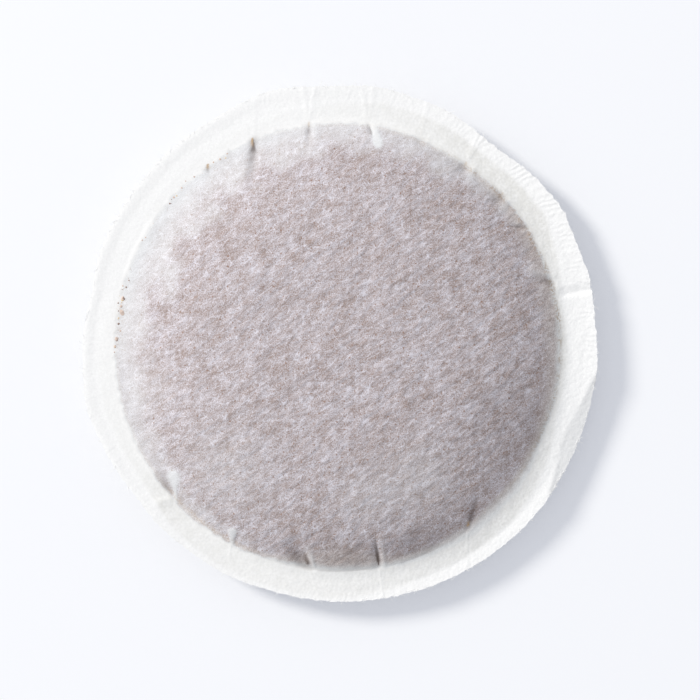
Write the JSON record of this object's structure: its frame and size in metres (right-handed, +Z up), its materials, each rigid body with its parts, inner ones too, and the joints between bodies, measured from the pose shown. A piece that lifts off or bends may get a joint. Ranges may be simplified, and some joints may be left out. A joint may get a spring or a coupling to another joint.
{
  "type": "coffee pad",
  "caption": "Round soft coffee pad: a low pillow of ground coffee between two gathered filter papers that are welded in a flat rim.",
  "frame": {"origin": "on the surface that the pad lies on, under the middle of its round rim", "axes": "+Z up through the pillow, +Y towards the side where the rim is widest, +X to the right of it seen from above"},
  "size_m": [0.07, 0.07, 0.0094],
  "materials": {
    "filter_paper": "matte, fibrous, lets the coffee show through",
    "ground_coffee": null
  },
  "bodies": {
    "root": {"upper_filter_paper": "filter_paper", "lower_filter_paper": "filter_paper", "ground_coffee": "ground_coffee"}
  },
  "joints": []
}
